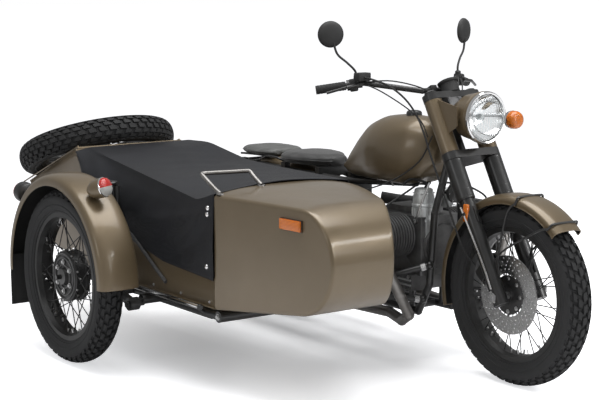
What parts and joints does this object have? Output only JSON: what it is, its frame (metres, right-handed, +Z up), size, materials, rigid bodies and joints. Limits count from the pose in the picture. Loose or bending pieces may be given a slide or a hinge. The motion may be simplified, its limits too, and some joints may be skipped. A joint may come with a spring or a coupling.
{
  "type": "sidecar motorcycle",
  "caption": "Flat-twin motorcycle with a one-seat sidecar: boat-shaped body under a fabric cover, sloping trunk lid with a spare wheel, laced wheels, block tyres, turning fork and wheels.",
  "frame": {"origin": "middle of the vehicle's footprint on the ground", "axes": "+Z up, the front faces -Y, the sidecar stands on the -X side"},
  "size_m": [1.67, 2.6533, 1.34],
  "materials": {
    "paint": "satin metallic olive bronze",
    "black_metal": "semi-gloss black",
    "wheel_metal": "dark grey",
    "alloy": "cast, matt",
    "steel": "bare steel",
    "tyre": "matt block tread",
    "rubber": "matt",
    "seat_cover": "grained black vinyl",
    "cover_fabric": "coated black canvas",
    "black_plastic": "matt black",
    "amber_plastic": "ribbed amber",
    "red_plastic": "ribbed red",
    "clear_glass": "fluted clear"
  },
  "bodies": {
    "chassis": {"main_frame": "black_metal", "engine_block": "alloy", "engine_cover": "alloy", "cylinders": "steel", "carburettors": "alloy", "exhausts": "steel", "final_drive": "alloy", "rear_swingarm": "black_metal", "rear_shocks": "black_metal", "rear_fender": "paint", "tail_light": "red_plastic", "fuel_tank": "paint", "driver_seat": "seat_cover", "pillion_seat": "seat_cover", "side_boxes": "black_metal", "foot_controls": "black_metal", "horn": "black_metal", "sidecar_frame": "black_metal", "sidecar_struts": "black_metal", "sidecar_body": "paint", "nose_cowl": "paint", "tonneau_cover": "cover_fabric", "grab_rail": "steel", "side_marker": "amber_plastic", "step_bar": "steel", "sidecar_fender": "paint", "sidecar_lamps": "red_plastic", "mud_flap": "rubber", "sidecar_swingarm": "black_metal", "sidecar_shock": "black_metal"},
    "fork": {"fork_legs": "black_metal", "fork_clamps": "black_metal", "headlight_ears": "paint", "headlight_bucket": "paint", "headlight_lens": "clear_glass", "instrument": "black_plastic", "handlebar": "black_metal", "grips": "rubber", "hand_controls": "black_metal", "mirrors": "black_metal", "turn_signal": "amber_plastic", "front_fender": "paint", "front_axle": "steel", "brake_caliper": "black_metal", "brake_hose": "rubber"},
    "trunk_lid": {"trunk_lid": "paint", "spare_carrier": "black_metal", "spare_tyre": "tyre", "spare_wheel": "wheel_metal"},
    "front_wheel": {"front_tyre": "tyre", "front_rim": "wheel_metal", "front_hub_disc": "steel"},
    "rear_wheel": {"rear_tyre": "tyre", "rear_rim": "wheel_metal", "rear_hub": "alloy"},
    "sidecar_wheel": {"sidecar_tyre": "tyre", "sidecar_rim": "wheel_metal", "sidecar_hub": "wheel_metal"}
  },
  "joints": [
    {"name": "steering", "type": "hinge", "parent": "chassis", "child": "fork", "pos_m": [0.435, -0.93092, 0.31688], "axis": [0, 0.4848, 0.8746], "range_deg": [-36, 36]},
    {"name": "front_wheel_spin", "type": "hinge", "parent": "fork", "child": "front_wheel", "pos_m": [0.435, -0.98165, 0.345], "axis": [1, 0, 0], "continuous": true},
    {"name": "rear_wheel_spin", "type": "hinge", "parent": "chassis", "child": "rear_wheel", "pos_m": [0.435, 0.52335, 0.345], "axis": [1, 0, 0], "continuous": true},
    {"name": "sidecar_wheel_spin", "type": "hinge", "parent": "chassis", "child": "sidecar_wheel", "pos_m": [-0.75, 0.29735, 0.345], "axis": [1, 0, 0], "continuous": true},
    {"name": "trunk_lid", "type": "hinge", "parent": "chassis", "child": "trunk_lid", "pos_m": [-0.26, 1.29435, 0.57679], "axis": [-1, 0, 0], "range_deg": [0, 70]}
  ]
}
